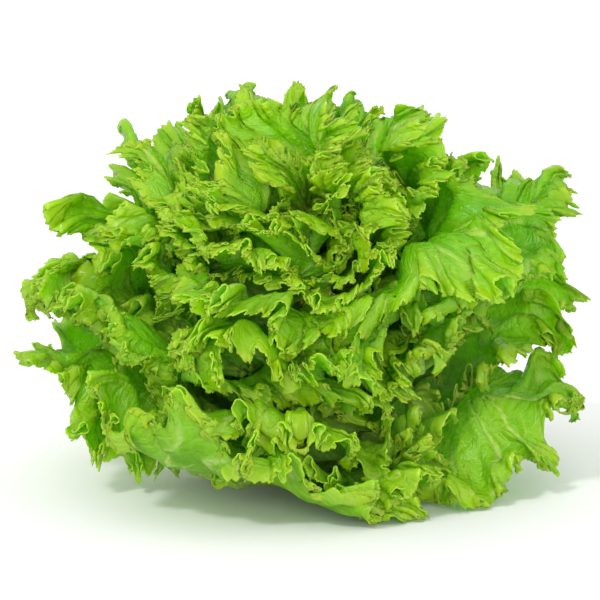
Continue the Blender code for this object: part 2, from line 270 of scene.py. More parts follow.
def flat_points(leaf, around, outwards):
    """(x, y) on the flat leaf."""
    x_edge, y_edge, travelled = leaf["outline"]
    lobes = 0
    for size, turns in LOBES:
        phase = leaf["phases"][0] * turns
        lobes = lobes + size * (LOBES_CUT_IN + np.sin(2 * math.pi * turns * around + phase))
    outwards = outwards * (1 - lobes * outwards**2 * (1 - around**NO_LOBES_AT_ROOT))
    distance = np.abs(around) * travelled[-1]
    x = np.sign(around) * np.interp(distance, travelled, x_edge)
    y = np.interp(distance, travelled, y_edge)
    start = vein_origin(around)
    return x * outwards, start + (y - start) * outwards


def turned(leaf, x, y):
    """How far round the axis a point of the flat leaf lies from the leaf's own azimuth."""
    away, _ = blade_line(leaf["layer"], leaf["azimuth"], y)
    return x / np.hypot(away, TIGHTEST_WRAP) + leaf["side_bend"] * y**2


def half_angles(leaf):
    """How far round the axis the leaf reaches at each share in ALONG. Past its tip, below 0."""
    x_edge, y_edge, _ = leaf["outline"]
    along = y_edge * leaf["length"]
    away, _ = blade_line(leaf["layer"], leaf["azimuth"], along)
    reach = np.interp(ALONG, along[::-1], (x_edge / np.hypot(away, TIGHTEST_WRAP))[::-1])
    return reach - PAST_TIP * np.clip(ALONG - leaf["length"], 0, None)


# %% [markdown]
# ## The spiral of leaves
#
# Lettuce sets its leaves one after another, each turned by the golden angle from the last, so that no
# leaf stands right over another. The eight oldest are set one by one where they lie in the photo, each
# by its azimuth in degrees, its layer, its length and its width. The rest follow the rule, with small
# seeded differences in length, width and bend, and a few are made longer, shorter or narrower still.

# %% The leaves
LEAF_COUNT = 33
RINGS = ("outer", "middle", "heart")
GOLDEN_ANGLE = math.radians(137.508)
LAYER_OF_HEART = 0.038
HEART_SPREADS = 0.27
OLDEST_LEAVES = (
    (-26, 0.975, 1.0, 0.86),
    (98, 1.02, 1.0, 1.0),
    (-173, 1.03, 0.97, 0.66),
    (-110, 0.945, 1.06, 1.03),
    (25, 0.915, 1.12, 1.0),
    (163, 0.87, 0.90, 0.95),
    (-79, 0.875, 0.94, 0.70),
    (-96, 0.81, 0.98, 0.85),
)
YOUNGER_LENGTHS = {10: 0.82, 13: 1.03, 14: 1.07, 16: 1.04, 19: 0.95, 22: 0.98, 29: 1.03}
YOUNGER_WIDTHS = {10: 0.85, 20: 0.84, 21: 0.97, 25: 0.93, 27: 0.95, 29: 0.95, 30: 0.92, 32: 0.93}
OUTER_LAYER = 0.78
LEAF_SEED = 5
LENGTHS_VARY = (0.93, 1.08)
WIDTHS_VARY = (0.94, 1.06)
DEGREES_OFF_SPIRAL = (-5, 5)
DEGREES_OF_BEND = (-8, 8)
GROWTH_POWER = 0.7


def leaf_facts():
    """Each leaf's place in the spiral, its size and its own bends, from the outermost one inwards."""
    draw = np.random.default_rng(LEAF_SEED)
    leaves = []
    azimuth = math.radians(OLDEST_LEAVES[-1][0])
    for order in range(LEAF_COUNT):
        if order < len(OLDEST_LEAVES):
            degrees, layer, length, width = OLDEST_LEAVES[order]
            azimuth = math.radians(degrees)
            jitter = 0
        else:
            share = (order - len(OLDEST_LEAVES)) / (LEAF_COUNT - 1 - len(OLDEST_LEAVES))
            layer = mixed(OUTER_LAYER, LAYER_OF_HEART, mixed(share, share**2, HEART_SPREADS))
            length = draw.uniform(*LENGTHS_VARY) * YOUNGER_LENGTHS.get(order, 1)
            width = draw.uniform(*WIDTHS_VARY) * YOUNGER_WIDTHS.get(order, 1)
            azimuth += GOLDEN_ANGLE
            jitter = math.radians(draw.uniform(*DEGREES_OFF_SPIRAL))
        size = min(layer, 1) ** GROWTH_POWER
        root_half_width = mixed(HEART_ROOT_HALF_WIDTH, OUTER_ROOT_HALF_WIDTH, min(layer, 1))
        ring_size = LEAF_COUNT // len(RINGS)
        ring = RINGS[order // ring_size]
        leaf = {
            "node": f"{ring}_leaf_{order % ring_size + 1:02d}",
            "ring": ring,
            "order": order,
            "layer": layer,
            "azimuth": azimuth + jitter,
            "half_width": mixed(HEART_HALF_WIDTH, OUTER_HALF_WIDTH, size) * width,
            "root_half_width": root_half_width,
            "length": length,
            "side_bend": math.radians(draw.uniform(*DEGREES_OF_BEND)),
            "phases": draw.uniform(0, 2 * math.pi, 4),
        }
        leaf["outline"] = outline(leaf)
        leaf["reach"] = half_angles(leaf)
        leaves.append(leaf)
    return leaves


leaves = leaf_facts()
edges = [2 * leaf["outline"][2][-1] for leaf in leaves]
print(len(leaves), "leaves with", round(sum(edges), 1), "m of edge in all")

# %% [markdown]
# ## Broad waves
#
# The edge of a lettuce leaf grows faster than its middle, so it can't lie flat: it buckles into waves,
# and smaller waves ride on those. The broad waves are made here, as the solids have them. Each stays in
# the free room between the leaf and its neighbours, which is worked out in layers. What room they leave
# is kept for the finer folds.

# %% Broad waves, in the room between the neighbours
BLADE_OF_SOLID = 0.8 * MM
RUFFLES = 12
RUFFLE_HEIGHT = 12 * MM
BROAD_SHARE = 0.9
RUFFLE_ALONG = (0.28, 0.60)
RUFFLE_OUTWARDS = (0.2, 1.0)
BILLOW_ALONG = (0.15, 0.6)
NEIGHBOUR_MARGIN = math.radians(5)
HEART_FADE = math.radians(32)
OUTER_FADE = math.radians(14)
OPEN_AIR = 0.045
INNER_AIR = 0.7
MOST_ROOM = 9
HEART_SHARE = 0.25
OUTER_SHARE = 0.46
ROOT_SHARE = 0.35
ROOM_GROWS = (0.25, 0.65)
STEP_IN_LAYER = 0.004


def room(leaf, azimuth, along):
    """(inwards, outwards): this leaf's share of the layers up to the nearest leaf on each side."""
    inwards = np.full_like(azimuth, min(OPEN_AIR, leaf["layer"] * INNER_AIR))
    outwards = np.full_like(azimuth, OPEN_AIR)
    free_of_root = mixed(ROOT_SHARE, 1, smooth(along, *ROOM_GROWS))
    own_share = mixed(HEART_SHARE, OUTER_SHARE, min(leaf["layer"], 1)) * free_of_root
    fade = mixed(HEART_FADE, OUTER_FADE, min(leaf["layer"], 1))
    for other in leaves:
        if other is leaf:
            continue
        centre = other["azimuth"] + other["side_bend"] * along**2
        apart = np.abs((azimuth - centre + math.pi) % (2 * math.pi) - math.pi)
        beyond = apart - np.interp(along, ALONG, other["reach"]) - NEIGHBOUR_MARGIN
        gap = own_share * abs(other["layer"] - leaf["layer"])
        gap = gap * (1 + np.clip(beyond / fade, 0, MOST_ROOM))
        if other["layer"] < leaf["layer"]:
            inwards = np.minimum(inwards, gap)
        else:
            outwards = np.minimum(outwards, gap)
    return inwards, outwards


def ruffle(leaf, around):
    """The edge's broad wave, from -1 to 1. Its rate and its strength change along the edge."""
    first, second, third, fourth = leaf["phases"]
    turn = 2 * math.pi * around
    drift = 0.9 * np.sin(1.3 * turn + second) + 0.5 * np.sin(2.9 * turn + third)
    strength = 0.85 + 0.15 * np.sin(2.1 * turn + fourth)
    return strength * np.sin(RUFFLES * turn / 2 + first + drift)


def layer_spacing(layer, azimuth, along):
    """Metres for one whole layer, at each point."""
    outer = in_place(layer + STEP_IN_LAYER, azimuth, along)
    inner = in_place(layer - STEP_IN_LAYER, azimuth, along)
    return np.linalg.norm(outer - inner, axis=-1) / (2 * STEP_IN_LAYER)


def leaf_layers(leaf, around, outwards):
    """(layer, azimuth, along) of each point."""
    x, y = flat_points(leaf, around, outwards)
    along = y * leaf["length"]
    azimuth = leaf["azimuth"] + turned(leaf, x, along)
    layer = np.full_like(azimuth, leaf["layer"])
    spacing = layer_spacing(layer, azimuth, along)
    inside, outside = room(leaf, azimuth, along)
    billow = (outside - inside) / 2 * smooth(along, *BILLOW_ALONG)
    free = np.minimum(outside - billow, inside + billow) - BLADE_OF_SOLID / spacing
    height = BROAD_SHARE * np.clip(free, 0, RUFFLE_HEIGHT / spacing)
    near_edge = smooth(outwards, *RUFFLE_OUTWARDS) * smooth(along, *RUFFLE_ALONG)
    return layer + billow + height * near_edge * ruffle(leaf, around), azimuth, along


# %% [markdown]
# ## A fine mesh for a leaf
#
# The frill needs a point for each quarter of a millimetre of edge, but the smooth blade by the rib
# needs few. So the edge has sixteen times as many points as the rows by the rib, doubled step by step,
# and a band of triangles joins each pair of rows. Every point carries what the next steps need to know
# of it: how far it is from the edge, how far round the edge, and which ways lead out of the layer,
# along the edge and past it.

# %% Rows of points, closer together towards the edge
EDGE_STEP = 0.245 * MM
DENSER_TIP = 0.45
DENSER_TIP_POWER = 5
ROWS = (
    (1, (0.1, 0.24, 0.38, 0.5)),
    (2, (0.61, 0.68, 0.74, 0.795)),
    (4, (0.84, 0.875, 0.91, 0.94)),
    (8, (0.965, 0.985)),
    (16, (1.0,)),
)
RIB_HALF_WIDTH = 5 * MM
FLESHY_ROOT = 0.35
FLESHY_SHARE = 0.25
RIB_THINS_POWER = 0.7
NARROWEST_RIB = 0.02
STEP_IN_SHARE = 0.002
SHORTEST = 1e-9


def direction(ahead, behind):
    apart = ahead - behind
    return apart / np.maximum(np.linalg.norm(apart, axis=-1, keepdims=True), SHORTEST)


def point_facts(leaf, around, outwards):
    """Where each point stands, and what the frill and the skin need to know of it."""
    layer, azimuth, along = leaf_layers(leaf, around, outwards)
    x, y = flat_points(leaf, around, outwards)
    by_rib = flat_points(leaf, around, np.zeros_like(around))
    edge = flat_points(leaf, around, np.ones_like(around))
    length = leaf["blade_length"]
    vein_length = np.hypot(edge[0] - by_rib[0], (edge[1] - by_rib[1]) * length)
    before = in_place(*leaf_layers(leaf, around - STEP_IN_SHARE, outwards))
    after = in_place(*leaf_layers(leaf, around + STEP_IN_SHARE, outwards))
    below = in_place(*leaf_layers(leaf, around, outwards - STEP_IN_SHARE))
    above = in_place(*leaf_layers(leaf, around, outwards + STEP_IN_SHARE))
    outer = in_place(layer + STEP_IN_LAYER, azimuth, along)
    inner = in_place(layer - STEP_IN_LAYER, azimuth, along)
    fleshy = FLESHY_SHARE * (1 - smooth(y, 0, FLESHY_ROOT))
    rib = np.exp(-((x / RIB_HALF_WIDTH) ** 2)) * np.clip(1 - y, 0, 1) ** RIB_THINS_POWER
    return {
        "place": in_place(layer, azimuth, along),
        "outside": direction(outer, inner),
        "sideways": direction(after, before),
        "beyond": direction(above, below),
        "flat": np.stack([x, y * length, np.full_like(x, leaf["order"])], axis=-1),
        "way": around * leaf["outline"][2][-1],
        "inset": (1 - outwards) * vein_length,
        "around": around,
        "outwards": outwards,
        "along": along,
        "rib": np.clip(rib + fleshy, 0, 1),
    }


def joined(first, second):
    return {key: np.concatenate([first[key], second[key]]) for key in first}


def row_faces(inner, outer):
    """Triangles between two rows of points, where the outer one has as many or twice as many."""
    ratio = (len(outer) - 1) // (len(inner) - 1)
    faces = []
    for i in range(len(inner) - 1):
        fan = outer[ratio * i : ratio * (i + 1) + 1]
        turn = len(fan) // 2
        for a, b in zip(fan[:turn], fan[1:]):
            faces.append((inner[i], a, b))
        faces.append((inner[i], fan[turn], inner[i + 1]))
        for a, b in zip(fan[turn:], fan[turn + 1 :]):
            faces.append((inner[i + 1], a, b))
    return [face for face in faces if len(set(face)) == 3]


def denser_at_tip(evenly):
    return (1 - DENSER_TIP) * evenly + DENSER_TIP * evenly**DENSER_TIP_POWER


def blade_mesh(leaf):
    """The leaf's middle surface as triangles, with every point's facts as attributes."""
    edge = 2 * leaf["outline"][2][-1]
    finest = ROWS[-1][0]
    coarse = 2 * round(edge / EDGE_STEP / (2 * finest))
    rows = [(share, finer * coarse) for finer, shares in ROWS for share in shares]
    rib = denser_at_tip(np.linspace(-1, 0, coarse // 2 + 1))
    facts = point_facts(leaf, rib, np.zeros_like(rib))
    inner = list(range(len(rib)))
    inner += inner[-2::-1]
    faces = []
    for share, segments in rows:
        around = denser_at_tip(np.linspace(-1, 1, segments + 1))
        outer = list(range(len(facts["way"]), len(facts["way"]) + len(around)))
        facts = joined(facts, point_facts(leaf, around, np.full_like(around, share)))
        faces += row_faces(inner, outer)
        inner = outer
    mesh = bpy.data.meshes.new(leaf["node"])
    mesh.from_pydata(facts["place"].tolist(), [], faces)
    for name, values in facts.items():
        if name in ("place", "rib"):
            continue
        kind, field = ("FLOAT_VECTOR", "vector") if values.ndim == 2 else ("FLOAT", "value")
        attribute = mesh.attributes.new(name, kind, "POINT")
        attribute.data.foreach_set(field, values.astype(np.float32).ravel())
    return mesh, facts["rib"]


for leaf in leaves:
    leaf["blade_length"] = blade_length(leaf)
print("the outermost blade is", round(leaves[0]["blade_length"], 3), "m long")

# %% [markdown]
# ## Node trees written as sums
#
# Both the frill and the skin are worked out by nodes. To keep them readable, a small class stands for
# what comes out of a node, and Python's own operators on it add the matching Math nodes.

# %% A socket that does sums, and a tree that adds nodes
class Value:
    """What comes out of a node. Sums with it are written as usual, and add Math nodes to its tree."""

    def __init__(self, graph, socket):
        self.graph = graph
        self.socket = socket

    def __add__(self, other):
        return self.graph.maths("ADD", self, other)

    def __radd__(self, other):
        return self.graph.maths("ADD", other, self)

    def __sub__(self, other):
        return self.graph.maths("SUBTRACT", self, other)

    def __rsub__(self, other):
        return self.graph.maths("SUBTRACT", other, self)

    def __mul__(self, other):
        return self.graph.maths("MULTIPLY", self, other)

    def __rmul__(self, other):
        return self.graph.maths("MULTIPLY", other, self)

    def __truediv__(self, other):
        return self.graph.maths("DIVIDE", self, other)

    def __rtruediv__(self, other):
        return self.graph.maths("DIVIDE", other, self)

    def __neg__(self):
        return self.graph.maths("MULTIPLY", self, -1)


class Graph:
    """A node tree."""

    def __init__(self, tree):
        self.tree = tree

    def add(self, kind, settings=None, sockets=None, output=0):
        """Adds a node. Its settings are set first, then its sockets get their values or links."""
        node = self.tree.nodes.new(kind)
        for name, setting in (settings or {}).items():
            setattr(node, name, setting)
        for key, value in (sockets or {}).items():
            socket = node.inputs[key]
            if isinstance(value, Value):
                self.tree.links.new(value.socket, socket)
            else:
                socket.default_value = value
        return Value(self, node.outputs[output])

    def maths(self, operation, *numbers):
        return self.add("ShaderNodeMath", {"operation": operation}, dict(enumerate(numbers)))

    def vector(self, operation, *vectors):
        return self.add("ShaderNodeVectorMath", {"operation": operation}, dict(enumerate(vectors)))

    def scaled(self, vector, factor):
        return self.add("ShaderNodeVectorMath", {"operation": "SCALE"}, {0: vector, 3: factor})

    def combined(self, x, y, z):
        return self.add("ShaderNodeCombineXYZ", {}, {0: x, 1: y, 2: z})

    def noise(self, place, scale, detail=2.0):
        """Cloudy noise, from about -1 to 1."""
        sockets = {"Vector": place, "Scale": scale, "Detail": detail}
        return self.add("ShaderNodeTexNoise", {}, sockets) * 4 - 2

    def cells(self, place, scale):
        """How far each place is from the border of its cell, as a share of a cell's width."""
        settings = {"feature": "DISTANCE_TO_EDGE"}
        return self.add("ShaderNodeTexVoronoi", settings, {"Vector": place, "Scale": scale})

    def step(self, value, low, high):
        """0 below low and 1 above high, with a soft step between them."""
        settings = {"interpolation_type": "SMOOTHSTEP"}
        return self.add("ShaderNodeMapRange", settings, {0: value, 1: low, 2: high, 3: 0.0, 4: 1.0})


print("sums on sockets are ready")

# %% [markdown]
# ## The frill
#
# Geometry Nodes fold the edge, because the same rule repeats round every leaf and only its sizes
# differ. A fold is a sine along the edge, pushed out of the layer. Pulling it to and fro along the edge
# at twice the rate leans its flanks over, so that the folds close up into the little funnels of a real
# frill. All folds die away inwards.
#
# Folds of three sizes are added up, from the widest to the finest, and each size rides on the wider
# ones: it stands square to their slopes, and it counts the way really gone over them, so that steep
# flanks carry more of it. The rim stands out on the crests and is cut back between them, which makes
# tongues, and it rolls over, away from the heart.
#
# Teeth stick out past the edge, crumples lie between the folds, the cells between the small veins are
# blown up into blisters, and the side veins lie in grooves. At last a slow drift moves the points. It
# depends on where they are and not on the leaf, so that neighbours keep together. Each size is given
# for an outer, a middle and a heart leaf.

# %% A tree that frills a blade
FRILL_SIZES = {
    "Fold width": (12 * MM, 11.5 * MM, 7 * MM),
    "Fold height": (3.7 * MM, 3.7 * MM, 2.6 * MM),
    "Fold depth": (14 * MM, 14 * MM, 9 * MM),
    "Lean over": (1.3, 1.3, 1.3),
    "Curl": (1.5, 1.6, 1.2),
    "Curl change": (1.0, 1.0, 1.0),
    "Curl depth": (14 * MM, 16 * MM, 10 * MM),
    "Drift": (12 * MM, 12 * MM, 12 * MM),
    "Tooth height": (0.9 * MM, 0.8 * MM, 0.6 * MM),
    "Crumple": (0.5 * MM, 0.4 * MM, 0.3 * MM),
    "Lobe": (12 * MM, 21 * MM, 10 * MM),
    "Notch": (5 * MM, 5 * MM, 4 * MM),
    "Blister height": (1.8 * MM, 1.6 * MM, 0.7 * MM),
    "Vein depth": (1.3 * MM, 0.7 * MM, 0.4 * MM),
}
FOLD_SCALES = (
    (2.0, 1.8, 1.8, 2.6, 1.0, 0.3, 1.0),
    (1.0, 1.0, 1.0, 2.6, 1.0, 0.4, 0.6),
    (0.42, 0.32, 0.42, 2.0, 0.5, 0.2, 0.22),
)
USUAL_STRENGTH = 0.85
NOTCH_REACH = 28 * MM
ROLL_FOLLOWS_RIM = 0.85
FOLDS_WIND = 0.8
TOOTH_SCALES = ((370.0, 1.0, 1.3), (900.0, 0.4, 1.2))
CRUMPLE_DEPTH = 22 * MM
LOWEST_FRILL = 1.2 * MM
FLOOR_ROUNDING = 3 * MM
VEINS_A_SIDE = 9
VEIN_BENDS = 0.05
VEIN_BEND_RATE = 28.0
BLISTER_CELLS = 115
FREE_OF_ROOT = (0.25, 0.55)
FOLD_WOBBLE_RATE = 24.0
FOLD_PATCH_RATE = 40.0
FINER_FOLDS_POWER = 0.7
WEAKEST_FOLD = 0.35
FOLD_STRENGTH_VARIES = 0.95
CURL_RATE = 26.0
LOBE_RATE = 27.0
CRUMPLE_RATE = 85.0
DRIFT_RATE = 21.0


def side_vein(graph, around, flat):
    """How far a point is from the nearest side vein: 0 on it, 1 halfway to the next."""
    bent = around + VEIN_BENDS * graph.noise(flat, VEIN_BEND_RATE, 1.0)
    return graph.maths("PINGPONG", bent * VEINS_A_SIDE, 0.5) * 2


def named(graph, name, kind="FLOAT"):
    return graph.add("GeometryNodeInputNamedAttribute", {"data_type": kind}, {"Name": name})


def frill_tree():
    """Moves the points of a blade. The sizes of its frill are the tree's named inputs."""
    tree = bpy.data.node_groups.new("frill", "GeometryNodeTree")
    tree.interface.new_socket("Geometry", in_out="OUTPUT", socket_type="NodeSocketGeometry")
    tree.interface.new_socket("Geometry", in_out="INPUT", socket_type="NodeSocketGeometry")
    for name in FRILL_SIZES:
        tree.interface.new_socket(name, in_out="INPUT", socket_type="NodeSocketFloat")
    tree.interface.new_socket("Seed", in_out="INPUT", socket_type="NodeSocketFloat")
    tree.interface.new_socket("Material", in_out="INPUT", socket_type="NodeSocketMaterial")
    graph = Graph(tree)
    given = tree.nodes.new("NodeGroupInput")
    wanted = {socket.name: Value(graph, socket) for socket in given.outputs if socket.name}

    way, inset, around, outwards, along = (
        named(graph, name) for name in ("way", "inset", "around", "outwards", "along")
    )
    outside, sideways, beyond, flat = (
        named(graph, name, "FLOAT_VECTOR") for name in ("outside", "sideways", "beyond", "flat")
    )
    width, seed = wanted["Fold width"], wanted["Seed"]
    track = graph.combined(way, seed, 0.0)
    winding = graph.combined(way, inset * FOLDS_WIND, seed)
    rooted = graph.step(along, *FREE_OF_ROOT)

    fold = 0.0
    lean = 0.0
    crest = 0.5
    notch = 0.0
    slant = way * 0.0
    travelled = way
    for share, height_share, depth_share, wobble, lean_share, pinch, notch_share in FOLD_SCALES:
        rate = (2 * math.pi / share) / width
        phase = travelled * rate + seed / share
        finer = share**FINER_FOLDS_POWER
        phase = phase + wobble * graph.noise(winding, FOLD_WOBBLE_RATE / finer, 1.0)
        depth = graph.maths("EXPONENT", -(inset / (wanted["Fold depth"] * depth_share))) * rooted
        patches = graph.noise(winding, FOLD_PATCH_RATE / finer + 3.0, 1.0)
        strength = WEAKEST_FOLD + FOLD_STRENGTH_VARIES * graph.step(patches, -1.1, 0.8)
        height = wanted["Fold height"] * height_share * depth * strength
        swing = graph.maths("SINE", phase)
        if share == 1.0:
            crest = 0.5 + 0.5 * swing
        notch = notch + notch_share * strength * (0.5 - 0.5 * swing)
        over = wanted["Lean over"] * lean_share
        closing = 0.5 * over * graph.maths("SINE", phase * 2)
        closing = closing + pinch * graph.maths("COSINE", phase)
        ahead = -(depth * closing) / rate
        level, steep = graph.maths("COSINE", slant), graph.maths("SINE", slant)
        fold = fold + height * swing * level + ahead * steep
        lean = lean + ahead * level - height * swing * steep
        rise = height * rate * graph.maths("COSINE", phase)
        run = 1 - depth * (over * graph.maths("COSINE", phase * 2) - pinch * swing)
        slant = slant + graph.maths("ARCTAN2", rise, run)
        halves = graph.maths("FLOOR", phase / math.pi + 0.5)
        climbed = 2 * halves + graph.maths("SINE", phase - halves * math.pi)
        usual_height = wanted["Fold height"] * (height_share * USUAL_STRENGTH)
        travelled = travelled + usual_height * climbed

    unsteady = graph.noise(graph.combined(way, inset, seed + 50.0), CURL_RATE, 1.0)
    curl = wanted["Curl"] + wanted["Curl change"] * unsteady
    angle = curl * (0.4 + 0.6 * crest) * rooted + 0.001
    lobed = graph.maths("EXPONENT", -(inset / NOTCH_REACH)) * rooted
    lobed = lobed * graph.step(outwards, 0.1, 0.5)
    rim = wanted["Lobe"] * graph.noise(track, LOBE_RATE, 1.0) + wanted["Notch"] * (0.55 - notch)
    place_on_blade = rim * lobed - inset
    rolls_from = rim * rooted * ROLL_FOLLOWS_RIM - wanted["Curl depth"]
    past = graph.maths("MAXIMUM", place_on_blade - rolls_from, 0.0)
    radius = wanted["Curl depth"] / angle
    turn = past / radius
    cosine, sine = graph.maths("COSINE", turn), graph.maths("SINE", turn)
    rolled_out = graph.vector("SUBTRACT", graph.scaled(outside, cosine), graph.scaled(beyond, sine))
    rolled_on = graph.vector("ADD", graph.scaled(beyond, cosine), graph.scaled(outside, sine))

    tooth = 0.0
    for rate, height_share, power in TOOTH_SCALES:
        reach = wanted["Tooth height"] * height_share
        near = graph.maths("EXPONENT", -(inset / (1.5 * reach))) * rooted
        uneven = travelled * rate + 0.6 * graph.noise(track, 0.3 * rate, 1.0)
        saw = graph.maths("PINGPONG", uneven, 0.5) * 2
        size = 0.4 + graph.step(graph.noise(track, 0.25 * rate + 7.0, 1.0), -1.0, 1.0)
        tooth = tooth + reach * near * size * (graph.maths("POWER", saw, power) * 1.5 - 0.5)

    crumpled = graph.maths("EXPONENT", -(inset / CRUMPLE_DEPTH)) * wanted["Crumple"] * rooted
    crumpled = crumpled * graph.noise(flat, CRUMPLE_RATE)
    fold = fold + crumpled * graph.maths("COSINE", slant)
    lean = lean - crumpled * graph.maths("SINE", slant)

    vein = side_vein(graph, around, flat)
    cell = graph.step(graph.cells(flat, BLISTER_CELLS), 0.0, 0.35)
    blown = wanted["Blister height"] * cell * graph.step(vein, 0.05, 0.5)
    blown = blown * graph.step(along, 0.15, 0.5)
    groove = wanted["Vein depth"] * (1 - graph.step(vein, 0.0, 0.32))
    groove = groove * graph.step(inset, 4 * MM, 30 * MM)

    place = graph.add("GeometryNodeInputPosition")
    sockets = {"Vector": place, "Scale": DRIFT_RATE, "Detail": 1.0}
    cloud = graph.add("ShaderNodeTexNoise", {}, sockets, "Color")
    centred = graph.vector("SUBTRACT", cloud, (0.5, 0.5, 0.5))
    above = graph.add("ShaderNodeSeparateXYZ", {}, {0: place}, 2)
    from_stem = graph.add("ShaderNodeVectorMath", {"operation": "LENGTH"}, {0: place}, 1)
    loose = graph.step(from_stem, 50 * MM, 120 * MM) * graph.step(above, 0.0, 30 * MM)
    loose = loose * wanted["Drift"] * 4

    moves = graph.scaled(centred, loose)
    for way_out, size in (
        (outside, radius * (1 - cosine) - blown + groove),
        (beyond, radius * sine - past + rim * lobed),
        (rolled_out, fold),
        (rolled_on, tooth),
        (sideways, lean),
    ):
        moves = graph.vector("ADD", moves, graph.scaled(way_out, size))
    moved = graph.vector("ADD", place, moves)
    x, y, z = (graph.add("ShaderNodeSeparateXYZ", {}, {0: moved}, axis) for axis in range(3))
    lying = graph.combined(x, y, graph.maths("SMOOTH_MAX", z, LOWEST_FRILL, FLOOR_ROUNDING))
    sockets = {"Geometry": wanted["Geometry"], "Position": lying}
    placed = graph.add("GeometryNodeSetPosition", {}, sockets)
    whole = graph.add("GeometryNodeRealizeInstances", {}, {"Geometry": placed})
    sockets = {"Geometry": whole, "Material": wanted["Material"]}
    coloured = graph.add("GeometryNodeSetMaterial", {}, sockets)
    tree.links.new(coloured.socket, tree.nodes.new("NodeGroupOutput").inputs[0])
    return tree


frill = frill_tree()
print("the frill tree has", len(frill.nodes), "nodes")

# %% [markdown]
# ## The skin of the leaves
#
# A lettuce leaf is thin and wet with light: part of it comes back from the waxy surface as small bright
# glints, part scatters back green, and part goes through and lights the other side. So a glossy skin is
# mixed with a see-through-green one. The colour turns from pale, near white, at the root and along the
# ribs to fresh green on the blade and to yellow-green at the rim. That rim colour is partly the margin's
# own and partly painted light on the lit tips of the folds, and a thin painted highlight runs along the
# very edge. The middle leaves are the deepest green, the old outer ones and the heart are lighter, and
# the backs of all leaves are duller.

# %% Leaf materials
# Colour of the painted highlight, a thin pale line along the very edge of every leaf.
EDGE_HIGHLIGHT = (0.76, 0.84, 0.10)
THROUGH = (0.46, 0.94, 0.004)
THROUGH_SHARE = 0.5
# How far in the rim colour reaches. That colour is partly the margin's own yellow-green and partly
# painted light on the lit tips of the folds.
RIM_COLOUR_AND_LIGHT_REACH = 11 * MM
FINE_NET = 3.1
RELIEF = 0.9 * MM
ROUGHNESS_VARIES = 0.18
FACE_FINISH = {"roughness": 0.28, "gloss": 0.6}
BACK_FINISH = {"roughness": 0.45, "gloss": 0.35}
# Each ring's colours: darker blade, fresher blade, rim, root. The rim colour is partly the margin's own
# yellow-green and partly painted light on the lit tips.
FACE_COLOURS = {
    "outer": ((0.19, 0.48, 0.002), (0.38, 0.64, 0.004), (0.67, 0.77, 0.008), (0.74, 0.81, 0.20)),
    "middle": ((0.13, 0.45, 0.002), (0.28, 0.61, 0.003), (0.70, 0.79, 0.008), (0.64, 0.75, 0.12)),
    "heart": ((0.17, 0.51, 0.002), (0.36, 0.67, 0.004), (0.74, 0.82, 0.01), (0.66, 0.79, 0.12)),
}
# The backs' colours in the same order; their rim colour too is partly the margin's own and partly
# painted light.
BACK_COLOURS = {
    "outer": ((0.20, 0.48, 0.006), (0.34, 0.60, 0.012), (0.48, 0.66, 0.02), (0.64, 0.74, 0.24)),
    "middle": ((0.13, 0.48, 0.003), (0.27, 0.62, 0.006), (0.46, 0.70, 0.02), (0.55, 0.72, 0.20)),
    "heart": ((0.17, 0.54, 0.003), (0.33, 0.67, 0.006), (0.52, 0.75, 0.02), (0.62, 0.77, 0.22)),
}


def blended(graph, factor, first, second):
    """A colour between two colours."""
    node = graph.tree.nodes.new("ShaderNodeMix")
    node.data_type = "RGBA"
    sockets = {"Factor_Float": factor, "A_Color": first, "B_Color": second}
    for socket in node.inputs:
        value = sockets.get(socket.identifier)
        if isinstance(value, Value):
            graph.tree.links.new(value.socket, socket)
        elif value is not None:
            socket.default_value = value
    result = next(socket for socket in node.outputs if socket.identifier == "Result_Color")
    return Value(graph, result)


def attribute(graph, name, output="Fac"):
    return graph.add("ShaderNodeAttribute", {"attribute_name": name}, {}, output)


def opaque(colour):
    return (*colour, 1.0)


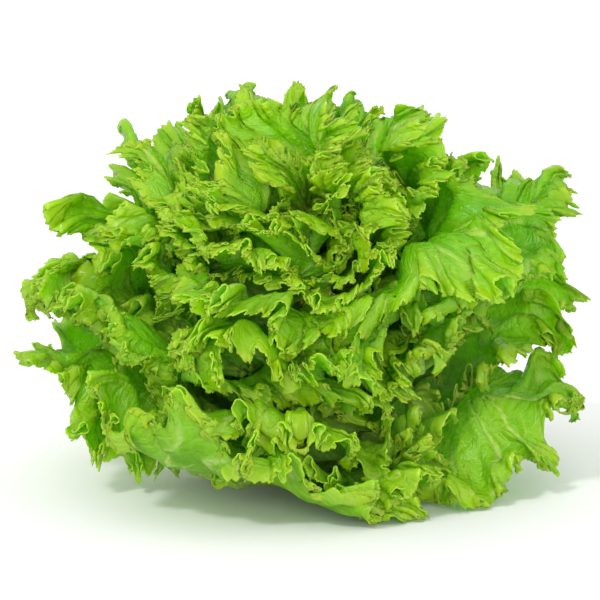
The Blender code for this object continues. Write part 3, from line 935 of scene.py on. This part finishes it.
def leaf_material(name, colours, roughness, gloss):
    """Green skin. Its colours: a darker and a fresher blade, mixed in clouds, a rim that is partly the
    margin's own yellow-green and partly painted light on the lit tips, and a root.
    """
    deep, fresh, rim, pale = (opaque(colour) for colour in colours)
    material = bpy.data.materials.new(name)
    material.use_nodes = True
    tree = material.node_tree
    graph = Graph(tree)
    skin = tree.nodes["Principled BSDF"]
    flat = attribute(graph, "flat", "Vector")
    inset, around, outwards, along = (
        attribute(graph, key) for key in ("inset", "around", "outwards", "along")
    )

    clouds = graph.step(graph.noise(flat, 32.0, 3.0), -1.2, 1.2)
    colour = blended(graph, clouds, deep, fresh)
    # Towards the edge the colour turns to the rim colour: partly the margin's own yellow-green, partly
    # painted light on the lit tips of the folds.
    near_edge = graph.maths("EXPONENT", -(inset / RIM_COLOUR_AND_LIGHT_REACH))
    near_edge = near_edge * (0.65 + 0.35 * graph.noise(flat, 90.0))
    colour = blended(graph, near_edge, colour, rim)

    vein = side_vein(graph, around, flat)
    cell = graph.cells(flat, BLISTER_CELLS)
    fine_cell = graph.cells(flat, BLISTER_CELLS * FINE_NET)
    main_veins = (1 - graph.step(vein, 0.02, 0.26)) * graph.step(inset, 2 * MM, 30 * MM)
    net = (1 - graph.step(cell, 0.0, 0.09)) * 0.28
    fine_net = (1 - graph.step(fine_cell, 0.0, 0.12)) * 0.1
    rib = 1 - graph.step(graph.maths("ABSOLUTE", attribute(graph, "rib_side")), 0.6, 1.6)
    by_root = 1 - graph.step(along + outwards * 0.12, 0.2, 0.92)
    veins = graph.maths("MAXIMUM", main_veins * 0.85, graph.maths("MAXIMUM", net, fine_net))
    paleness = graph.maths("MAXIMUM", graph.maths("MAXIMUM", veins, by_root * 0.9), rib * 0.85)
    colour = blended(graph, paleness, colour, pale)
    # Painted highlight: a thin pale line along the very edge of the leaf.
    painted_edge_highlight = 1 - graph.step(inset, 0.3 * MM, 1.2 * MM)
    colour = blended(graph, painted_edge_highlight * 0.6, colour, opaque(EDGE_HIGHLIGHT))

    relief = graph.step(cell, 0.0, 0.3) + 0.35 * graph.step(fine_cell, 0.0, 0.25)
    relief = relief + 0.25 * graph.noise(flat, 700.0)
    bump = graph.add("ShaderNodeBump", {}, {"Strength": 0.6, "Distance": RELIEF, "Height": relief})
    smoothest = roughness - ROUGHNESS_VARIES / 2
    rough = graph.step(graph.noise(flat, 120.0), -1.5, 1.5) * ROUGHNESS_VARIES + smoothest

    tree.links.new(colour.socket, skin.inputs["Base Color"])
    tree.links.new(rough.socket, skin.inputs["Roughness"])
    tree.links.new(bump.socket, skin.inputs["Normal"])
    skin.inputs["Specular IOR Level"].default_value = gloss
    sockets = {"Color": opaque(THROUGH), "Normal": bump}
    light = graph.add("ShaderNodeBsdfTranslucent", {}, sockets)
    sockets = {0: THROUGH_SHARE, 1: Value(graph, skin.outputs[0]), 2: light}
    both = graph.add("ShaderNodeMixShader", {}, sockets)
    tree.links.new(both.socket, tree.nodes["Material Output"].inputs["Surface"])
    return material


faces = {
    ring: leaf_material(ring + "_leaf_face", colours, **FACE_FINISH)
    for ring, colours in FACE_COLOURS.items()
}
backs = {
    ring: leaf_material(ring + "_leaf_back", colours, **BACK_FINISH)
    for ring, colours in BACK_COLOURS.items()
}
print("materials:", [material.name for material in (*faces.values(), *backs.values())])

# %% [markdown]
# ## Making the leaves
#
# Each blade goes through the frill tree with its own sizes: wide folds on the outer leaves, narrow ones
# in the heart, and deeper folds with other curls behind. Solidify gives it two faces, far apart along
# the rib and close at the edge, and then all of it is made a plain mesh. The face towards the heart gets
# the glossy green, the other the duller one.

# %% Fine leaves in place of the plain ones
BLADE = 0.45 * MM
CURLS_BEHIND = (1.9, 1.7, 1.0)
BEHIND_CURLS_LESS_DEEP = 0.8
FOLDS_DEEPER_BEHIND = 0.4
BEHIND = (-0.3, 0.6)
SEED_STEP = 1.7


def set_inputs(modifier, values):
    """Sets a tree's inputs, each by its socket's identifier."""
    for item in modifier.node_group.interface.items_tree:
        if item.in_out == "INPUT" and item.name in values:
            modifier[item.identifier] = values[item.name]


def plain(piece):
    """The piece as its modifiers show it, as a mesh of its own."""
    bpy.context.view_layer.update()
    graph = bpy.context.evaluated_depsgraph_get()
    shown = piece.evaluated_get(graph)
    return bpy.data.meshes.new_from_object(shown, preserve_all_data_layers=True, depsgraph=graph)


def fine_leaf(leaf):
    ring = leaf["ring"]
    mesh, rib_weights = blade_mesh(leaf)
    rib_side = mesh.attributes.new("rib_side", "FLOAT", "POINT")
    flat = np.empty(3 * len(mesh.vertices), np.float32)
    mesh.attributes["flat"].data.foreach_get("vector", flat)
    flat = flat.reshape(-1, 3)
    rib_width = RIB_HALF_WIDTH * np.clip(1 - flat[:, 1] / leaf["blade_length"], NARROWEST_RIB, 1)
    rib_side.data.foreach_set("value", flat[:, 0] / rib_width)
    piece = add_object("frilled_" + leaf["node"], mesh)
    group = piece.vertex_groups.new(name="rib")
    for index, weight in enumerate(rib_weights):
        group.add([index], float(weight), "REPLACE")

    behind = float(smooth(math.sin(leaf["azimuth"]), *BEHIND))
    column = RINGS.index(ring)
    values = {name: by_ring[column] for name, by_ring in FRILL_SIZES.items()}
    values["Fold depth"] *= 1 + FOLDS_DEEPER_BEHIND * behind
    values["Curl"] = mixed(values["Curl"], CURLS_BEHIND[column], behind)
    curl_depth = values["Curl depth"]
    values["Curl depth"] = mixed(curl_depth, curl_depth * BEHIND_CURLS_LESS_DEEP, behind)
    values["Seed"] = float(SEED_STEP * leaf["order"])
    values["Material"] = faces[ring]
    frilled = piece.modifiers.new("frill", "NODES")
    frilled.node_group = frill
    set_inputs(frilled, values)
    thick = mixed(HEART_RIB, OUTER_RIB, min(leaf["layer"], 1))
    walls = piece.modifiers.new("walls", "SOLIDIFY")
    walls.thickness = thick
    walls.offset = 0
    walls.vertex_group = "rib"
    walls.thickness_vertex_group = BLADE / thick
    walls.material_offset = 1
    walls.material_offset_rim = 0
    mesh.materials.append(faces[ring])
    mesh.materials.append(backs[ring])
    finished = plain(piece)
    piece.modifiers.clear()
    piece.data = finished
    finished.shade_smooth()
    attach(piece, "root")
    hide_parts(leaf["node"])
    ring + "_leaf"
    return piece


pieces = [fine_leaf(leaf) for leaf in leaves]
counts = [sum(len(polygon.vertices) - 2 for polygon in piece.data.polygons) for piece in pieces]
print(len(pieces), "leaves,", sum(counts), "triangles in all,", max(counts), "in the largest")

# %% [markdown]
# ## The stem
#
# Only the cut face of the short stem shows, from below. It was cut level while the head leaned, so it
# is an oval. A cut stem has a pale watery pith, a ring of woody bundles round it, a green rind, and a
# thin rusty stain where its white sap has dried.

# %% The stem
STEM_TIP = 3 * MM
STEM_SIDES = 96
STEM_ROW = 1.5 * MM
STEM_RIDGES = 5
RIDGE_HEIGHT = 0.012
RIDGE_TWIST = 30
SHARP_EDGE = math.radians(50)
PITH = 9.5 * MM
BUNDLES = 26
BUNDLE_RING = 12.2 * MM
BUNDLE_HALF_WIDTH = 1.6 * MM
RIND = (14.6 * MM, 16.4 * MM)
STAIN_HEIGHTS = (0.3 * MM, 2.5 * MM)
FLESH_DARK = (0.62, 0.66, 0.36)
FLESH_LIGHT = (0.74, 0.76, 0.50)
PITH_COLOUR = (0.80, 0.82, 0.62)
BUNDLE_COLOUR = (0.48, 0.50, 0.16)
RIND_COLOUR = (0.40, 0.56, 0.14)
STAIN_COLOUR = (0.42, 0.22, 0.07)


def stem_material():
    material = bpy.data.materials.new("cut_stem")
    material.use_nodes = True
    tree = material.node_tree
    graph = Graph(tree)
    skin = tree.nodes["Principled BSDF"]
    place = graph.add("ShaderNodeTexCoord", {}, {}, "Object")
    x, y, z = (graph.add("ShaderNodeSeparateXYZ", {}, {0: place}, axis) for axis in range(3))
    back = y * math.cos(LEAN) + z * math.sin(LEAN)
    from_axis = graph.maths("SQRT", x * x + back * back)
    from_axis = from_axis + 0.5 * MM * graph.noise(place, 140.0)
    angle = graph.maths("ARCTAN2", back, x)
    fibres = graph.noise(graph.combined(x * 4, back * 4, z), 160.0, 3.0)

    flesh = blended(graph, 0.5 + 0.4 * fibres, opaque(FLESH_DARK), opaque(FLESH_LIGHT))
    pith = 1 - graph.step(from_axis, PITH * 0.8, PITH * 1.1)
    colour = blended(graph, pith * 0.8, flesh, opaque(PITH_COLOUR))
    between = graph.maths("PINGPONG", angle * (BUNDLES / (2 * math.pi)), 0.5) * 2
    off_ring = graph.maths("ABSOLUTE", from_axis - BUNDLE_RING) / BUNDLE_HALF_WIDTH
    bundle = 1 - graph.step(graph.maths("SQRT", between * between + off_ring * off_ring), 0.4, 0.9)
    colour = blended(graph, bundle * 0.7, colour, opaque(BUNDLE_COLOUR))
    rind = graph.step(from_axis, *RIND)
    colour = blended(graph, rind, colour, opaque(RIND_COLOUR))
    stain = graph.step(graph.noise(place, 90.0, 3.0), 0.1, 1.1)
    stain = stain * (1 - graph.step(z, *STAIN_HEIGHTS))
    colour = blended(graph, stain * 0.55, colour, opaque(STAIN_COLOUR))
    relief = fibres * 0.5 - bundle
    bump = graph.add("ShaderNodeBump", {}, {"Strength": 0.5, "Distance": 0.5 * MM, "Height": relief})
    rough = 0.42 + 0.15 * stain
    tree.links.new(colour.socket, skin.inputs["Base Color"])
    tree.links.new(rough.socket, skin.inputs["Roughness"])
    tree.links.new(bump.socket, skin.inputs["Normal"])
    return material


def fine_stem():
    """A turned stem with soft ridges, leaned over and cut level, so that the cut lies on the floor."""
    rows = np.arange(STEM_HEIGHTS[0], STEM_HEIGHTS[-1], STEM_ROW)
    shape = bmesh.new()
    rings = []
    for height in rows:
        radius = float(np.interp(height, STEM_HEIGHTS, STEM_RADII))
        ring = []
        for turn in np.linspace(0, 2 * math.pi, STEM_SIDES, endpoint=False):
            ridge = RIDGE_HEIGHT * math.sin(STEM_RIDGES * turn + RIDGE_TWIST * height)
            ridged = radius * (1 + ridge)
            ring.append(shape.verts.new((ridged * math.cos(turn), ridged * math.sin(turn), height)))
        rings.append(ring)
    top = shape.verts.new((0, 0, STEM_HEIGHTS[-1] + STEM_TIP))
    for lower, upper in zip(rings, rings[1:]):
        for side in range(STEM_SIDES):
            following = (side + 1) % STEM_SIDES
            shape.faces.new((lower[side], lower[following], upper[following], upper[side]))
    for side in range(STEM_SIDES):
        shape.faces.new((rings[-1][side], rings[-1][(side + 1) % STEM_SIDES], top))
    shape.faces.new(list(reversed(rings[0])))
    leaned = Matrix.Rotation(LEAN, 3, "X")
    bmesh.ops.rotate(shape, verts=shape.verts, cent=(0, 0, 0), matrix=leaned)
    everything = shape.verts[:] + shape.edges[:] + shape.faces[:]
    level = {"plane_co": (0, 0, 0), "plane_no": (0, 0, -1)}
    cut = bmesh.ops.bisect_plane(shape, geom=everything, clear_outer=True, **level)["geom_cut"]
    rim = [part for part in cut if isinstance(part, bmesh.types.BMEdge)]
    bmesh.ops.holes_fill(shape, edges=rim, sides=0)
    bmesh.ops.triangulate(shape, faces=shape.faces)
    bmesh.ops.recalc_face_normals(shape, faces=shape.faces)
    mesh = bpy.data.meshes.new("cut_stem")
    shape.to_mesh(mesh)
    shape.free()
    mesh.materials.append(stem_material())
    mesh.shade_smooth()
    mesh.set_sharp_from_angle(angle=SHARP_EDGE)
    piece = add_object("cut_stem", mesh)
    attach(piece, "root")
    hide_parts("stem")
    return piece


stem = fine_stem()
print("the stem has", len(stem.data.polygons), "triangles")

# %% [markdown]
# ## Floor and light
#
# A pale floor turns up into a pale wall far behind. A small sun from above left draws the shadows of
# the folds, a broad soft one from the front fills them, and the air is white all round, as in a product
# photo.

# %% Floor and light
FLOOR_SIZE = 8.0
FLOOR_COLOUR = (0.94, 0.94, 0.94)
FLOOR_ROUGHNESS = 0.8
LIT_POINT = (0, -0.05, 0.1)
LIGHTS = (
    ("key", (-0.6, -1.0, 1.2), 8, 1.1),
    ("fill", (0.25, -1.5, 0.35), 35, 1.2),
)
AIR_STRENGTH = 0.92


def add_floor():
    size = FLOOR_SIZE
    mesh = bpy.data.meshes.new("floor")
    corners = [(-size, -size, 0), (size, -size, 0), (size, size, 0), (-size, size, 0)]
    corners += [(size, size, size), (-size, size, size)]
    mesh.from_pydata(corners, [], [(0, 1, 2, 3), (3, 2, 4, 5)])
    floor = add_object("floor", mesh)
    material = bpy.data.materials.new("white_floor")
    material.use_nodes = True
    skin = material.node_tree.nodes["Principled BSDF"]
    skin.inputs["Base Color"].default_value = opaque(FLOOR_COLOUR)
    skin.inputs["Roughness"].default_value = FLOOR_ROUGHNESS
    mesh.materials.append(material)


def add_light(name, place, spread, power):
    """A sun that is seen so many degrees wide from the head."""
    data = bpy.data.lights.new(name, "SUN")
    data.angle = math.radians(spread)
    data.energy = power
    light = add_object(name, data)
    light.location = place
    away = Vector(place) - Vector(LIT_POINT)
    light.rotation_euler = away.to_track_quat("Z", "Y").to_euler()


def add_air():
    world = bpy.data.worlds.new("white_air")
    world.use_nodes = True
    background = world.node_tree.nodes["Background"]
    background.inputs["Color"].default_value = (1, 1, 1, 1)
    background.inputs["Strength"].default_value = AIR_STRENGTH
    bpy.context.scene.world = world


add_floor()
for light in LIGHTS:
    add_light(*light)
add_air()
bpy.context.scene.view_settings.view_transform = "Standard"
print("floor, two lights and white air")

# %% [markdown]
# ## Sizes
#
# The scene is brought up to date. The fine leaves may stand a little outside the box of the solids, but
# by no more than 3% of its sides.

# %% Sizes
bpy.context.view_layer.update()
